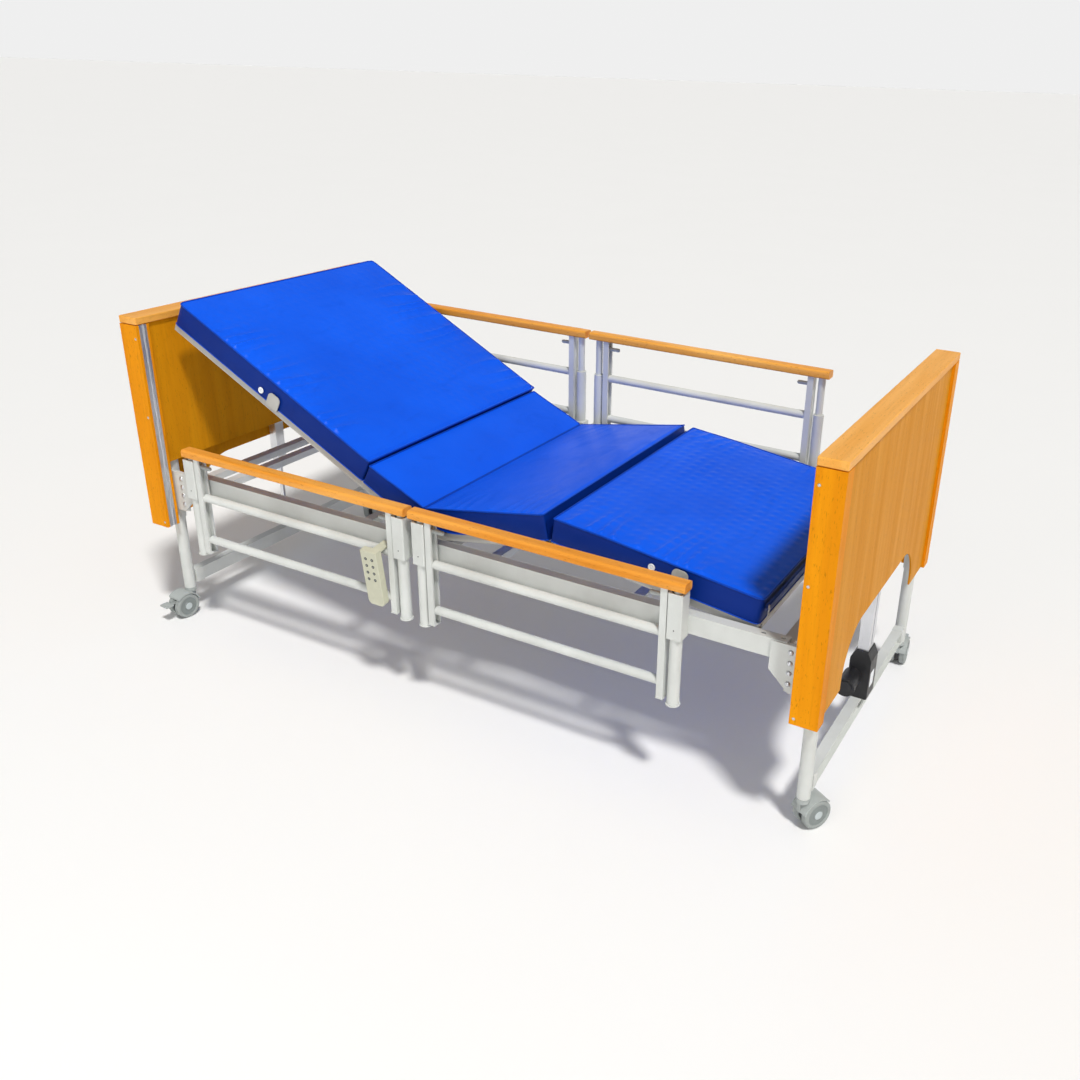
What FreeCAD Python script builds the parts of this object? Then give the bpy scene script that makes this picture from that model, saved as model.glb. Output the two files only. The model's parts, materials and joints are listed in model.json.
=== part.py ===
import FreeCAD, Part
import Sketcher
import math
import os

# Adjustable hospital bed, millimetres.
# X runs along the bed from the head (-X) to the foot (+X), Y across it, Z up.
# The origin lies on the floor under the middle of the bed.

doc = FreeCAD.newDocument("HospitalBed")

DIMENSIONS = {
    # end boards
    "inner_length": 2060, "board_depth": 70, "board_width": 1030, "board_bottom": 340,
    "board_height": 980, "cap_top": 1003, "cap_thick": 20, "post_width": 44,
    "panel_thick": 5, "outer_recess": 8, "inner_recess": 7, "inner_panel_bottom": 544,
    "arch_half": 325, "arch_top": 489, "arch_radius": 130, "trim_width": 25, "trim_depth": 6,
    # deck frame
    "frame_low": 464, "frame_high": 515, "frame_out": 458, "frame_tube": 30, "frame_half": 990,
    "cross_high": 485, "wall": 2,
    # legs and lift
    "leg_dia": 35, "leg_y": 440, "leg_low": 92, "leg_top": 790, "bar_low": 105, "bar_high": 148,
    "running": 0.05,
    # casters
    "wheel_dia": 80, "wheel_wide": 20, "wheel_gap": 14, "trail": 33,
    # side rails
    "rail_y": 479, "rail_low": 601, "rail_travel": 286, "wood_wide": 40, "wood_thick": 24,
    "bar_dia": 25, "bar_one": 138, "bar_two": 278, "post_drop": 320, "post_wide": 19,
    "post_deep": 30, "post_shift": 32, "inner_tube": 22, "mid_tube": 32, "mid_length": 300,
    "housing_wide": 40, "housing_low": 458, "housing_high": 582,
    # sleeping surface
    "hinge_x": -101, "hinge_z": 502.8, "back_angle": 27.5, "thigh_angle": 10.4, "calf_angle": 7.5,
    "deck_half": 415, "deck_top": 12, "pad_half": 424, "pad_thick": 75, "pad_lift": 0.3,
    "back_length": 1000, "pad_length": 1005, "seat_length": 235, "thigh_length": 424,
    "calf_length": 590, "pad_bevel": 46.5, "arm_length": 70,
    # handset
    "handset_wide": 56, "handset_thick": 22, "handset_tall": 178, "handset_tilt": 7,
    "handset_x": -200,
}


class Size:
    """A length with the sheet expression that gives it."""

    def __init__(self, value, text):
        self.value = float(value)
        self.text = text

    def __add__(self, other):
        other = as_size(other)
        return Size(self.value + other.value, f"({self.text} + {other.text})")

    def __sub__(self, other):
        other = as_size(other)
        return Size(self.value - other.value, f"({self.text} - {other.text})")

    def __mul__(self, other):
        other = as_size(other)
        return Size(self.value * other.value, f"({self.text} * {other.text})")

    def __truediv__(self, other):
        other = as_size(other)
        return Size(self.value / other.value, f"({self.text} / {other.text})")

    def __radd__(self, other):
        return as_size(other) + self

    def __rsub__(self, other):
        return as_size(other) - self

    def __rmul__(self, other):
        return as_size(other) * self

    def __neg__(self):
        return Size(-self.value, f"(-{self.text})")


def as_size(number):
    return number if isinstance(number, Size) else Size(number, f"({number})")


def tangent(angle):
    return Size(math.tan(math.radians(angle.value)), f"tan({angle.text} * 1 deg)")


def cosine(angle):
    return Size(math.cos(math.radians(angle.value)), f"cos({angle.text} * 1 deg)")


def sine(angle):
    return Size(math.sin(math.radians(angle.value)), f"sin({angle.text} * 1 deg)")


class Dimensions:
    """The spreadsheet's cells, each as a Size."""

    def __init__(self, table):
        self.sheet = doc.addObject("Spreadsheet::Sheet", "Dims")
        for row, (name, number) in enumerate(table.items(), 1):
            self.sheet.set(f"A{row}", name)
            self.sheet.set(f"B{row}", str(number))
            self.sheet.setAlias(f"B{row}", name)
            setattr(self, name, Size(number, f"Dims.{name}"))


dim = Dimensions(DIMENSIONS)
doc.recompute()

nodes = []


# ---- document objects bound to the sheet ----

def bind(obj, prop, size):
    obj.setExpression(prop, as_size(size).text)


def place(obj, x, y, z, axis="Z", angle=0):
    """Puts obj at x, y, z, turned by angle degrees about one of the main axes."""
    turn = {"X": FreeCAD.Vector(1, 0, 0), "Y": FreeCAD.Vector(0, 1, 0), "Z": FreeCAD.Vector(0, 0, 1)}[axis]
    spot = FreeCAD.Vector(as_size(x).value, as_size(y).value, as_size(z).value)
    obj.Placement = FreeCAD.Placement(spot, FreeCAD.Rotation(turn, as_size(angle).value))
    for letter, size in zip("xyz", (x, y, z)):
        bind(obj, f"Placement.Base.{letter}", size)
    if isinstance(angle, Size):
        bind(obj, "Placement.Rotation.Angle", angle)
    return obj


def box(x, y, z):
    """A box from three (low, high) spans."""
    obj = doc.addObject("Part::Box", "Block")
    for prop, (low, high) in zip(("Length", "Width", "Height"), (x, y, z)):
        bind(obj, prop, as_size(high) - low)
    return place(obj, x[0], y[0], z[0])


def rod(axis, radius, span, centre):
    """A cylinder along axis, over span, at centre in the two other coordinates."""
    obj = doc.addObject("Part::Cylinder", "Rod")
    bind(obj, "Radius", radius)
    bind(obj, "Height", as_size(span[1]) - span[0])
    a, b = centre
    if axis == "X":
        return place(obj, span[0], a, b, "Y", 90)
    if axis == "Y":
        return place(obj, a, span[1], b, "X", 90)
    return place(obj, a, b, span[0])


def cut(base, *tools):
    for tool in tools:
        obj = doc.addObject("Part::Cut", "Cut")
        obj.Base = base
        obj.Tool = tool
        base = obj
    return base


def fuse(*parts):
    obj = doc.addObject("Part::MultiFuse", "Fuse")
    obj.Shapes = list(parts)
    return obj


def common(first, second):
    obj = doc.addObject("Part::MultiCommon", "Common")
    obj.Shapes = [first, second]
    return obj


def group(*parts):
    obj = doc.addObject("Part::Compound", "Group")
    obj.Links = list(parts)
    return obj


def pipe(axis, outer, inner, span, centre):
    """A round tube; its bore runs a little past both ends of the cutter."""
    bore = rod(axis, inner, (as_size(span[0]) - 1, as_size(span[1]) + 1), centre)
    return cut(rod(axis, outer, span, centre), bore)


def square_tube(axis, x, y, z):
    """A rectangular tube, open at both ends, along axis."""
    spans = {"X": x, "Y": y, "Z": z}
    inside = {}
    for name, (low, high) in spans.items():
        step = as_size(-1) if name == axis else dim.wall
        inside[name] = (as_size(low) + step, as_size(high) - step)
    return cut(box(x, y, z), box(inside["X"], inside["Y"], inside["Z"]))


def sketch_in(body, role):
    plane = [item for item in body.Origin.OriginFeatures if item.Role == role][0]
    sketch = body.newObject("Sketcher::SketchObject", "Outline")
    sketch.AttachmentSupport = (plane, [""])
    sketch.MapMode = "FlatFace"
    return sketch


def draw(sketch, points):
    """Draws a closed outline and ties each corner to the sheet."""
    corners = [(as_size(u), as_size(v)) for u, v in points]
    for start, end in zip(corners, corners[1:] + corners[:1]):
        a = FreeCAD.Vector(start[0].value, start[1].value, 0)
        b = FreeCAD.Vector(end[0].value, end[1].value, 0)
        sketch.addGeometry(Part.LineSegment(a, b))
    for i in range(len(corners)):
        sketch.addConstraint(Sketcher.Constraint("Coincident", i, 2, (i + 1) % len(corners), 1))
    for i, corner in enumerate(corners):
        for kind, size in zip(("DistanceX", "DistanceY"), corner):
            index = sketch.addConstraint(Sketcher.Constraint(kind, -1, 1, i, 1, size.value))
            sketch.setExpression(f"Constraints[{index}]", size.text)


def plate(role, points, low, high):
    """A body padded from low to high along the axis that its sketch plane faces."""
    body = doc.addObject("PartDesign::Body", "Plate")
    sketch = sketch_in(body, role)
    draw(sketch, points)
    start = -as_size(high) if role == "XZ_Plane" else as_size(low)
    sketch.setExpression("AttachmentOffset.Base.z", start.text)
    pad = body.newObject("PartDesign::Pad", "Pad")
    pad.Profile = sketch
    bind(pad, "Length", as_size(high) - low)
    body.Tip = pad
    return body


def turned(points):
    """A body of revolution about Y from (y, radius) corners."""
    body = doc.addObject("PartDesign::Body", "Turned")
    sketch = sketch_in(body, "YZ_Plane")
    draw(sketch, points)
    ring = body.newObject("PartDesign::Revolution", "Revolution")
    ring.Profile = sketch
    ring.ReferenceAxis = (sketch, ["H_Axis"])
    ring.Angle = 360
    body.Tip = ring
    return body


def round_edges(body, radius, wanted):
    """Fillets the edges of the body that wanted picks."""
    doc.recompute()
    base = body.Tip
    names = [f"Edge{i}" for i, edge in enumerate(base.Shape.Edges, 1) if wanted(edge)]
    fillet = body.newObject("PartDesign::Fillet", "Rounding")
    fillet.Base = (base, names)
    bind(fillet, "Radius", radius)
    body.Tip = fillet
    return body


def along(edge, axis):
    """True for a straight edge that runs along the axis."""
    step = edge.Vertexes[-1].Point - edge.Vertexes[0].Point
    return len(edge.Vertexes) == 2 and abs(abs(getattr(step, axis)) - step.Length) < 1e-6


def node(label, *parts):
    """Names one sub-part of the bed; several pieces stay separate solids."""
    obj = group(*parts)
    obj.Label = label
    nodes.append(obj)
    return obj


SIDES = (-1, 1)
board_in = dim.inner_length / 2
deck_in = dim.frame_out - dim.frame_tube


# ---- one bed end, drawn at the foot: x = 0 is the board's inner face, x grows outwards ----

def end_placed(name, build):
    """Makes the foot's piece, and the head's by a half turn about Z."""
    node(f"foot_{name}", build)
    place(nodes[-1], board_in, 0, 0)
    node(f"head_{name}", build)
    place(nodes[-1], -board_in, 0, 0, "Z", 180)


def spread(side, low, high):
    """A span mirrored to one side of the bed."""
    return (-as_size(high), -as_size(low)) if side < 0 else (as_size(low), as_size(high))


half_width = dim.board_width / 2
post_in = half_width - dim.post_width
leg_x = dim.board_depth / 2
leg_r = dim.leg_dia / 2
trim_out = half_width - 9
trim_in = trim_out - dim.trim_width


def board_posts():
    posts = []
    for side in SIDES:
        post = box((0, dim.board_depth), spread(side, post_in, half_width),
                   (dim.board_bottom, dim.board_height))
        groove = box((-1, dim.trim_depth), spread(side, trim_in, trim_out),
                     (dim.board_bottom - 1, dim.board_height + 1))
        posts.append(cut(post, groove))
    return group(*posts)


def board_panels():
    low = dim.board_bottom + 5
    outer_face = dim.board_depth - dim.outer_recess
    outline = [(-post_in, low), (-dim.arch_half, low), (-dim.arch_half, dim.arch_top),
               (dim.arch_half, dim.arch_top), (dim.arch_half, low), (post_in, low),
               (post_in, dim.board_height), (-post_in, dim.board_height)]
    outer = plate("YZ_Plane", outline, outer_face - dim.panel_thick, outer_face)

    def arch_corner(edge):
        point = edge.Vertexes[0].Point
        on_arch = abs(abs(point.y) - dim.arch_half.value) < 1e-6
        return along(edge, "x") and on_arch and abs(point.z - dim.arch_top.value) < 1e-6

    round_edges(outer, dim.arch_radius, arch_corner)
    inner = box((dim.inner_recess, dim.inner_recess + dim.panel_thick), (-post_in, post_in),
                (dim.inner_panel_bottom, dim.board_height))
    return group(outer, inner)


def board_cap():
    low = dim.cap_top - dim.cap_thick
    slab = plate("XY_Plane", [(0, -half_width), (dim.board_depth, -half_width),
                              (dim.board_depth, half_width), (0, half_width)], low, dim.cap_top)
    round_edges(slab, 3, lambda edge: edge.Vertexes[0].Z > low.value + 1 or along(edge, "z"))
    inset = 8
    tongue = box((inset, dim.board_depth - inset), (inset - half_width, half_width - inset),
                 (dim.board_height, low))
    return fuse(slab, tongue)


def end_frame():
    """Two leg sleeves, the beam that joins them and the tabs that take the deck frame."""
    parts = []
    sleeve_r = leg_r + 3
    for side in SIDES:
        centre = (leg_x, side * dim.leg_y)
        sleeve = pipe("Z", sleeve_r, leg_r + dim.running, (dim.board_bottom + 5, 945), centre)
        tab = box((-38, leg_x - 14), spread(side, dim.frame_out - 6, dim.frame_out), (384, BRACKET_TOP))
        holes = [rod("Y", BOLT_HOLE, spread(side, dim.frame_out - 8, dim.frame_out + 2), (BOLT_X, height))
                 for height in BOLT_HEIGHTS]
        parts.append(cut(fuse(sleeve, tab), *holes))
    reach = dim.leg_y - leg_r - 2
    parts.append(square_tube("Y", (leg_x - 15, leg_x + 15), (-reach, reach), (900, 940)))
    return group(*parts)


BOLT_HEIGHTS = (409, 438, 465, 494)
BOLT_X = -28
BOLT_HOLE = 4.05
BRACKET_TOP = 513


def leg_frame():
    """Two legs with plugged feet, the channel between them and its end brackets."""
    legs = []
    for side in SIDES:
        centre = (leg_x, side * dim.leg_y)
        tube = pipe("Z", leg_r, leg_r - 2.5, (dim.leg_low, dim.leg_top), centre)
        plug = pipe("Z", leg_r - 2, 5.5 + dim.running, (dim.leg_low, 140), centre)
        legs.append(fuse(tube, plug))
        near = dim.leg_y - leg_r - 30
        legs.append(box((leg_x - 16, leg_x + 16), spread(side, near, dim.leg_y - leg_r + 1),
                        (dim.bar_low - 2, dim.bar_high + 1)))
    reach = dim.leg_y - leg_r - 30
    span = (-reach, reach)
    bar = box((leg_x - 15, leg_x + 15), span, (dim.bar_low, dim.bar_high))
    hollow = box((leg_x - 12, leg_x + 16), (-reach - 1, reach + 1), (dim.bar_low + 3, dim.bar_high - 3))
    return group(*legs, cut(bar, hollow))


column_top = 700
gear_top = 294
head_column = (400, 780)
head_rod_top = 765
rod_r = 8


def lift_motor():
    """Gearbox that stands on the channel, its motor and the motor's end cap."""
    case = plate("XZ_Plane", [(5, dim.bar_high), (64, dim.bar_high), (64, gear_top - 26),
                              (52, gear_top), (18, gear_top), (5, gear_top - 26)], -32, 32)
    round_edges(case, 4, lambda edge: along(edge, "y"))
    bore = rod("Z", 9, (dim.bar_high + 6, gear_top + 1), (leg_x, 0))
    motor_at = (18, 214)
    motor = fuse(rod("Y", 25, (-96, -32), motor_at), rod("Y", 27, (-104, -90), motor_at),
                 rod("Y", 20, (-107, -104), motor_at))
    return group(cut(case, bore), motor)


def lift_column():
    """Aluminium guide column with two grooves along it and the bore for the rod."""
    profile = box((leg_x - 15, leg_x + 15), (-25, 25), (gear_top, column_top))
    grooves = [box((low, high), (-4, 4), (gear_top + 12, column_top + 1))
               for low, high in ((leg_x - 16, leg_x - 12), (leg_x + 12, leg_x + 16))]
    bore = rod("Z", rod_r + dim.running, (gear_top - 1, column_top + 1), (leg_x, 0))
    return cut(profile, bore, *grooves)


def foot_lift():
    """The foot's drive stands on the leg channel and climbs a rod fixed in the board."""
    pieces = {"motor": lift_motor(), "column": lift_column(),
              "rod": rod("Z", rod_r, (300, 900), (leg_x, 0))}
    for name, piece in pieces.items():
        place(node(f"foot_lift_{name}", piece), board_in, 0, 0)


def head_lift():
    """The head's drive is up inside the board: its column hangs down and guides the rod."""
    low, high = head_column
    tube = box((leg_x - 15, leg_x + 15), (-18, 18), (low, high))
    column = cut(tube, rod("Z", rod_r + dim.running, (low - 1, high + 1), (leg_x, 0)))
    case = plate("XZ_Plane", [(14, high), (55, high), (55, 900), (14, 900)], -32, 32)
    round_edges(case, 4, lambda edge: along(edge, "y"))
    case = cut(case, rod("Z", rod_r + 1, (high - 1, 890), (leg_x, 0)))
    motor = fuse(rod("Y", 19, (-112, -32), (leg_x, 840)), rod("Y", 17, (-122, -112), (leg_x, 840)))
    shaft = fuse(rod("Z", rod_r, (dim.bar_high, head_rod_top), (leg_x, 0)),
                 rod("Z", 14, (dim.bar_high, dim.bar_high + 6), (leg_x, 0)))
    for name, piece in (("motor", group(case, motor)), ("column", column), ("rod", shaft)):
        place(node(f"head_lift_{name}", piece), -board_in, 0, 0, "Z", 180)


def end_pieces():
    end_placed("board_posts", board_posts())
    end_placed("board_panels", board_panels())
    end_placed("board_cap", board_cap())
    end_placed("end_frame", end_frame())
    end_placed("leg_frame", leg_frame())
    foot_lift()
    head_lift()


def at_both_ends(build):
    """Puts one drawn piece at the foot and, by a half turn, at the head."""
    copies = []
    for angle, x in ((0, board_in), (180, -board_in)):
        copies.append(place(group(build), x, 0, 0, "Z", angle))
    return copies


def trim_profiles():
    strips = []
    for side in SIDES:
        strip = box((-0.5, dim.trim_depth), spread(side, trim_in, trim_out),
                    (dim.board_bottom, dim.board_height))
        middle = dim.trim_width / 2
        slot = box((-1, dim.trim_depth - 2), spread(side, trim_in + middle - 4, trim_in + middle + 4),
                   (dim.board_bottom - 1, dim.board_height + 1))
        strips.append(cut(strip, slot))
    node("board_trim_profiles", *at_both_ends(group(*strips)))


def corner_brackets():
    end = leg_x - leg_r - 1.5
    outline = [(-79, 436), (-27, 384), (end, 384), (end, BRACKET_TOP), (-79, BRACKET_TOP)]
    plates = []
    for side in SIDES:
        low, high = spread(side, dim.frame_out, dim.frame_out + 5)
        blank = plate("XZ_Plane", outline, low, high)
        holes = [rod("Y", BOLT_HOLE, (low - 1, high + 1), (BOLT_X, height)) for height in BOLT_HEIGHTS]
        plates.append(cut(blank, *holes))
    node("corner_brackets", *at_both_ends(group(*plates)))


def dome(radius, height, axis_sign, centre, face):
    """A round head whose flat lies on the plane Y = face."""
    ball_r = (radius * radius + height * height) / (2 * height)
    ball = doc.addObject("Part::Sphere", "Ball")
    ball.Radius = ball_r
    inward = ball_r - height
    place(ball, centre[0], as_size(face) - axis_sign * inward, centre[1])
    span = (face, as_size(face) + height + 1) if axis_sign > 0 else (as_size(face) - height - 1, face)
    return common(ball, rod("Y", radius, span, centre))


def fasteners():
    """Dome-head bolts with nuts at the four corners, and the screws in the posts."""
    pieces = []
    for side in SIDES:
        outside = side * (dim.frame_out + 5)
        inside = dim.frame_out - 6
        for height in BOLT_HEIGHTS:
            at = (BOLT_X, height)
            shank = rod("Y", 4, spread(side, inside - 8, dim.frame_out + 5), at)
            nut = rod("Y", 6.5, spread(side, inside - 6, inside), at)
            pieces.append(fuse(dome(7.5, 4.5, side, at, outside), shank, nut))
        for height in (356, 700, 940):
            pieces.append(dome(4, 1.5, side, (11, height), side * half_width))
    node("frame_fasteners", *at_both_ends(group(*pieces)))


# ---- deck frame ----

CROSS_TUBES = (-973, -890, -330, 120, 560, 973)


def deck_frame():
    parts = []
    for side in SIDES:
        tube = square_tube("X", (-dim.frame_half, dim.frame_half), spread(side, deck_in, dim.frame_out),
                           (dim.frame_low, dim.frame_high))
        middle = dim.frame_out - dim.frame_tube / 2
        slots = [box((x - 6, x + 6), spread(side, middle - 2.5, middle + 2.5),
                     (dim.frame_high - 5, dim.frame_high + 1)) for x in (-975, -925, 925, 975)]
        parts.append(cut(tube, *slots))
        parts.append(box((-210, 105), spread(side, deck_in - 18, deck_in + 10),
                         (dim.frame_low - 4, dim.frame_low)))
    for x in CROSS_TUBES:
        parts.append(square_tube("Y", (x - 15, x + 15), (-deck_in, deck_in),
                                 (dim.frame_low, dim.cross_high)))
    node("deck_frame", *parts)


# ---- side rails: two a side, each with a post pair, two bars and telescopic tubes ----
# Drawn about the wood's centre line; placed low on the near side and high on the far side.

RAILS = {"head": (-940, -98, -920, -121), "foot": (-83, 742, -53, 717)}
POST_SIGNS = (1, -1)


def rail_wood(start, end):
    half, deep = dim.wood_wide / 2, dim.wood_thick / 2
    board = plate("YZ_Plane", [(-half, -deep), (half, -deep), (half, deep), (-half, deep)], start, end)
    round_edges(board, 8, lambda edge: along(edge, "x") and edge.Vertexes[0].Z > 0)
    round_edges(board, 5, lambda edge: along(edge, "x") and edge.Vertexes[0].Z < -deep.value + 1)
    return board


def rail_frame(tubes):
    """Slotted posts, the two bars between them and the inner tubes that telescope."""
    parts = []
    faces = []
    half = dim.post_wide / 2
    deep = dim.post_deep / 2
    top = -dim.wood_thick / 2
    for x, inward in zip(tubes, POST_SIGNS):
        centre = x + inward * dim.post_shift
        post = box((centre - half, centre + half), (-deep, deep), (-dim.post_drop, top))
        slot_x = (centre - half + 3, centre + half + 1)
        if inward < 0:
            slot_x = (centre - half - 1, centre + half - 3)
        slot = box(slot_x, (-9, 9), (-dim.post_drop - 1, top + 1))
        foot = box((centre - half - 1, centre + half + 1), (-deep - 1, deep + 1),
                   (-dim.post_drop - 3, -dim.post_drop))
        parts.append(fuse(cut(post, slot), foot))
        faces.append(centre + inward * half)
        parts.append(pipe("Z", dim.inner_tube / 2, dim.inner_tube / 2 - 2, (-240, top), (x, 0)))
    for drop in (dim.bar_one, dim.bar_two):
        parts.append(rod("X", dim.bar_dia / 2, faces, (0, -drop)))
    return group(*parts)


def rail_mid_tubes(tubes):
    """Middle stages: a running fit on the inner tubes, with a flange at the foot."""
    parts = []
    top = 570 - dim.rail_low
    bottom = top - dim.mid_length
    inner_r = dim.inner_tube / 2
    outer_r = dim.mid_tube / 2
    for x in tubes:
        wide = rod("Z", outer_r - 2, (bottom - 5, top - 20), (x, 0))
        neck = rod("Z", inner_r + dim.running, (top - 21, top + 1), (x, 0))
        flange = rod("Z", outer_r + 3, (bottom - 4, bottom), (x, 0))
        tube = fuse(rod("Z", outer_r, (bottom, top), (x, 0)), flange)
        parts.append(cut(tube, wide, neck))
    return group(*parts)


def rail_levers(tubes):
    """Release levers that stand out of the posts' slots just under the wood."""
    parts = []
    for x, inward in zip(tubes, POST_SIGNS):
        face = x + inward * (dim.post_shift + dim.post_wide / 2)
        block_x = sorted((face.value - inward * 15, face.value))
        pin_x = sorted((face.value - inward * 2, face.value + inward * 30))
        ball = doc.addObject("Part::Sphere", "Ball")
        ball.Radius = 6
        place(ball, face + inward * 30, 0, -38)
        parts.append(fuse(box(block_x, (-8.6, 8.6), (-45, -31)), rod("X", 6, pin_x, (0, -38)), ball))
    return group(*parts)


def side_rails():
    rail_high = dim.rail_low + dim.rail_travel
    mid_travel = 187
    for name, (start, end, *tubes) in RAILS.items():
        pieces = {"wood": rail_wood(start, end), "frame": rail_frame(tubes), "levers": rail_levers(tubes)}
        middle = rail_mid_tubes(tubes)
        for where, side, height in (("near", -1, dim.rail_low), ("far", 1, rail_high)):
            for piece, build in pieces.items():
                place(node(f"rail_{where}_{name}_{piece}", build), 0, side * dim.rail_y, height)
            lift = 0 if side < 0 else mid_travel
            place(node(f"rail_{where}_{name}_tubes", middle), 0, side * dim.rail_y, dim.rail_low + lift)


def rail_housings():
    parts = []
    half = dim.housing_wide / 2
    for side in SIDES:
        low, high = spread(side, dim.frame_out, dim.frame_out + 40)
        for start, end, *tubes in RAILS.values():
            for x in tubes:
                outline = [(x - half, low), (x + half, low), (x + half, high), (x - half, high)]
                case = plate("XY_Plane", outline, dim.housing_low, dim.housing_high)
                front = high.value if side > 0 else low.value

                def front_corner(edge):
                    return along(edge, "z") and abs(edge.Vertexes[0].Y - front) < 1e-6

                round_edges(case, 3, front_corner)
                bore = rod("Z", dim.mid_tube / 2 + dim.running, (dim.housing_low - 1, dim.housing_high + 1),
                           (x, side * dim.rail_y))
                dimple = rod("Y", 2, spread(side, dim.frame_out + 38.5, dim.frame_out + 41), (x, 484))
                parts.append(cut(case, bore, dimple))
    node("rail_housings", *parts)


# ---- casters: swivel axis at the local origin, wheels trail towards local +X ----

CASTERS = {"near_head": (-1, -1, -95), "far_foot": (1, 1, 95),
           "near_foot": (1, -1, 58), "far_head": (-1, 1, 122)}
BRAKED = ("near_head", "far_foot")


def caster_pieces():
    wheel_r = dim.wheel_dia / 2
    inner_y = dim.wheel_gap / 2
    outer_y = inner_y + dim.wheel_wide
    bore = 4 + dim.running
    axle = (dim.trail, wheel_r)
    section = [(inner_y, bore), (inner_y, wheel_r - 4), (inner_y + 3, wheel_r), (outer_y - 3, wheel_r),
               (outer_y, wheel_r - 3), (outer_y, 30), (outer_y - 2, 29), (outer_y - 2, 15),
               (outer_y, 13), (outer_y + 1.5, 9), (outer_y + 1.5, 0), (outer_y - 0.4, 0),
               (outer_y - 0.4, bore)]
    pair = []
    for angle in (0, 180):
        wheel = turned(section)
        pair.append(place(wheel, dim.trail, 0, wheel_r, "Z", angle))

    guard = pipe("Y", wheel_r + 6, wheel_r + 2, (-outer_y, outer_y), axle)
    guard = common(guard, box((-20, 64), (-40, 40), (52, 95)))
    web = cut(rod("Y", wheel_r - 6, (0.5 - inner_y, inner_y - 0.5), axle),
              box((48, 80), (3, 8), (0, 95)), box((48, 80), (-8, -3), (0, 95)))
    neck = box((-12, dim.trail), (0.5 - inner_y, inner_y - 0.5), (50, 84))
    boss = rod("Z", 18, (79, dim.leg_low - 0.5), (0, 0))
    stem = rod("Z", 5.5, (80, 132), (0, 0))
    shaft = rod("Y", 4, (1 - outer_y, outer_y - 1), axle)
    pivot = rod("Y", 2.5, (0.5 - inner_y, inner_y - 0.5), (60, 60))
    fork = fuse(guard, web, neck, boss, stem, shaft, pivot)

    arms = [box((55, 84), spread(side, 3.2, 6.2), (56, 64)) for side in SIDES]
    tread = box((80, 106), (-17, 17), (57, 62))
    pin_hole = rod("Y", 2.5 + dim.running, (-8, 8), (60, 60))
    pedal = cut(fuse(*arms, tread), pin_hole)
    return {"fork": fork, "wheels": group(*pair), "pedal": pedal}


def casters():
    pieces = caster_pieces()
    for where, (end, side, heading) in CASTERS.items():
        for piece, build in pieces.items():
            if piece == "pedal" and where not in BRAKED:
                continue
            place(node(f"caster_{where}_{piece}", build), end * (board_in + leg_x), side * dim.leg_y, 0,
                  "Z", heading)


# ---- sleeping surface: each section is drawn flat from its hinge, then turned ----

frame_low_n = -10
sheet_n = dim.deck_top - 2
pad_low = dim.deck_top + dim.pad_lift
pad_high = pad_low + dim.pad_thick
bevel_low = pad_low * tangent(dim.pad_bevel) + 0.5
bevel_high = pad_high * tangent(dim.pad_bevel) + 0.5
HINGE_GAP = 16


def section_frame(direction, length, cross_at):
    """Side tubes, cross tubes and top sheet of one section that runs off along +X or -X."""
    def run(low, high):
        return (as_size(low), as_size(high)) if direction > 0 else (-as_size(high), -as_size(low))

    rail_in = dim.deck_half - 25
    parts = [box(run(HINGE_GAP, length), (-dim.deck_half, dim.deck_half), (sheet_n, dim.deck_top))]
    for side in SIDES:
        parts.append(square_tube("X", run(HINGE_GAP, length), spread(side, rail_in, dim.deck_half),
                                 (frame_low_n, sheet_n)))
    for start in (HINGE_GAP,) + cross_at:
        parts.append(box(run(start, as_size(start) + 20), (-rail_in, rail_in), (frame_low_n, sheet_n)))
    return parts


def knuckles(direction, bore_r, outer_r, spans):
    """Hinge tubes at the section's pivot, each with a web to its first cross tube."""
    parts = []
    for low, high in spans:
        for side in SIDES:
            across = spread(side, low, high)
            reach = (outer_r - 2, HINGE_GAP + 1) if direction > 0 else (-HINGE_GAP - 1, 2 - outer_r)
            web = box(reach, across, (-6, 6))
            hub = fuse(rod("Y", outer_r, across, (0, 0)), web)
            bore = rod("Y", bore_r, (across[0] - 1, across[1] + 1), (0, 0))
            parts.append(cut(hub, bore))
    return parts


def arm(centre_y, lean, hub_r, bore_r):
    """Drive arm under a hinge: a hub, a flat bar and the roller at its end."""
    across = (centre_y - 4, centre_y + 4)
    tip = (dim.arm_length * sine(as_size(lean)), -dim.arm_length * cosine(as_size(lean)))
    bar = box((-8, 8), across, (-dim.arm_length, 0))
    turned_bar = place(group(bar), 0, 0, 0, "Y", -lean)
    roller = rod("Y", 8, (centre_y - 16, centre_y + 16), tip)
    hub = rod("Y", hub_r, (centre_y - 12, centre_y + 12), (0, 0))
    bore = rod("Y", bore_r, (centre_y - 13, centre_y + 13), (0, 0))
    return cut(fuse(turned_bar, roller, hub), bore)


def retainers(middle, top):
    """Rounded side plates, one a side, that keep the mattress from sliding off."""
    parts = []
    upright_in = dim.pad_half + 0.6
    upright_out = upright_in + 2.8
    for side in SIDES:
        low, high = spread(side, upright_in, upright_out)
        tongue = plate("XZ_Plane", [(middle - 22, sheet_n), (middle + 22, sheet_n),
                                    (middle + 22, top), (middle - 22, top)], low, high)
        round_edges(tongue, 14, lambda edge: along(edge, "y") and edge.Vertexes[0].Z > top - 15)
        foot = box((middle - 22, middle + 22), spread(side, dim.deck_half, upright_out),
                   (sheet_n, dim.deck_top))
        parts.append(fuse(tongue, foot))
    return parts


PIN_R = 7
KNEE_PIN_R = 6


def pad(points):
    return plate("XZ_Plane", points, -dim.pad_half, dim.pad_half)


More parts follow.
